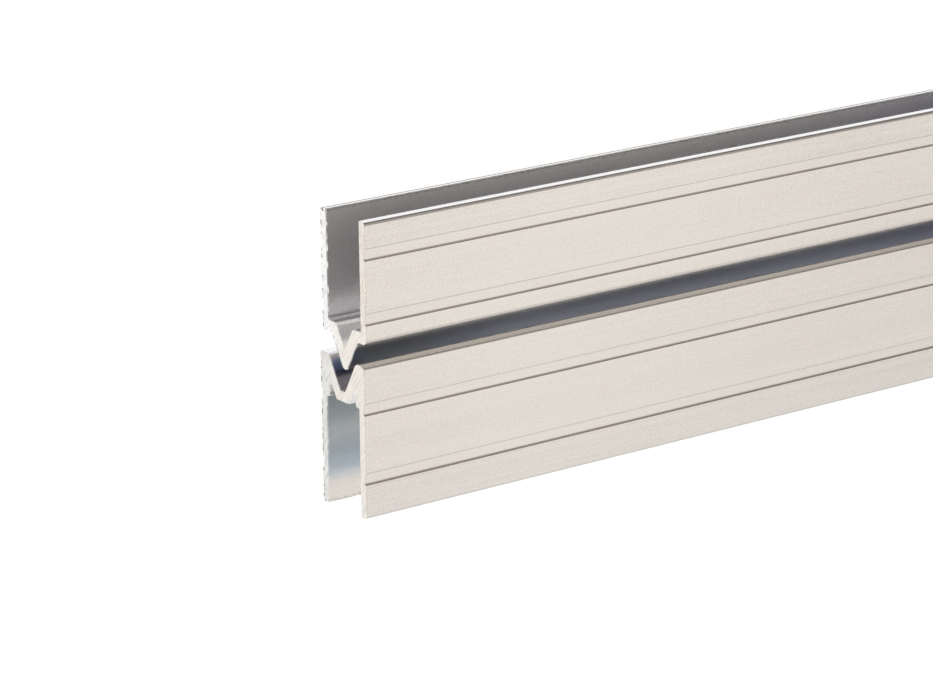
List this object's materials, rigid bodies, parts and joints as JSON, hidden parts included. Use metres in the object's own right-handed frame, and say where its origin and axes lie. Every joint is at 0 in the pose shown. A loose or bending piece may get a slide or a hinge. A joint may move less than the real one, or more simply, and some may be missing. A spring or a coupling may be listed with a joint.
{
  "type": "case closure profile",
  "caption": "Mating pair of extruded aluminium rails for a case: a hollow V tongue above a V groove, each with a channel that grips a panel's edge.",
  "frame": {"origin": "middle of the pair on the plane that the backs of the rails lie on", "axes": "+X along the rails, +Y up the section from the groove rail to the tongue rail, +Z from the backs to the fronts"},
  "size_m": [1.0006, 0.0504, 0.0125],
  "materials": {
    "mill_aluminium": "satin mill finish with fine die lines along the rail, saw-cut at the ends"
  },
  "bodies": {
    "root": {"tongue_rail": "mill_aluminium", "groove_rail": "mill_aluminium"}
  },
  "joints": []
}
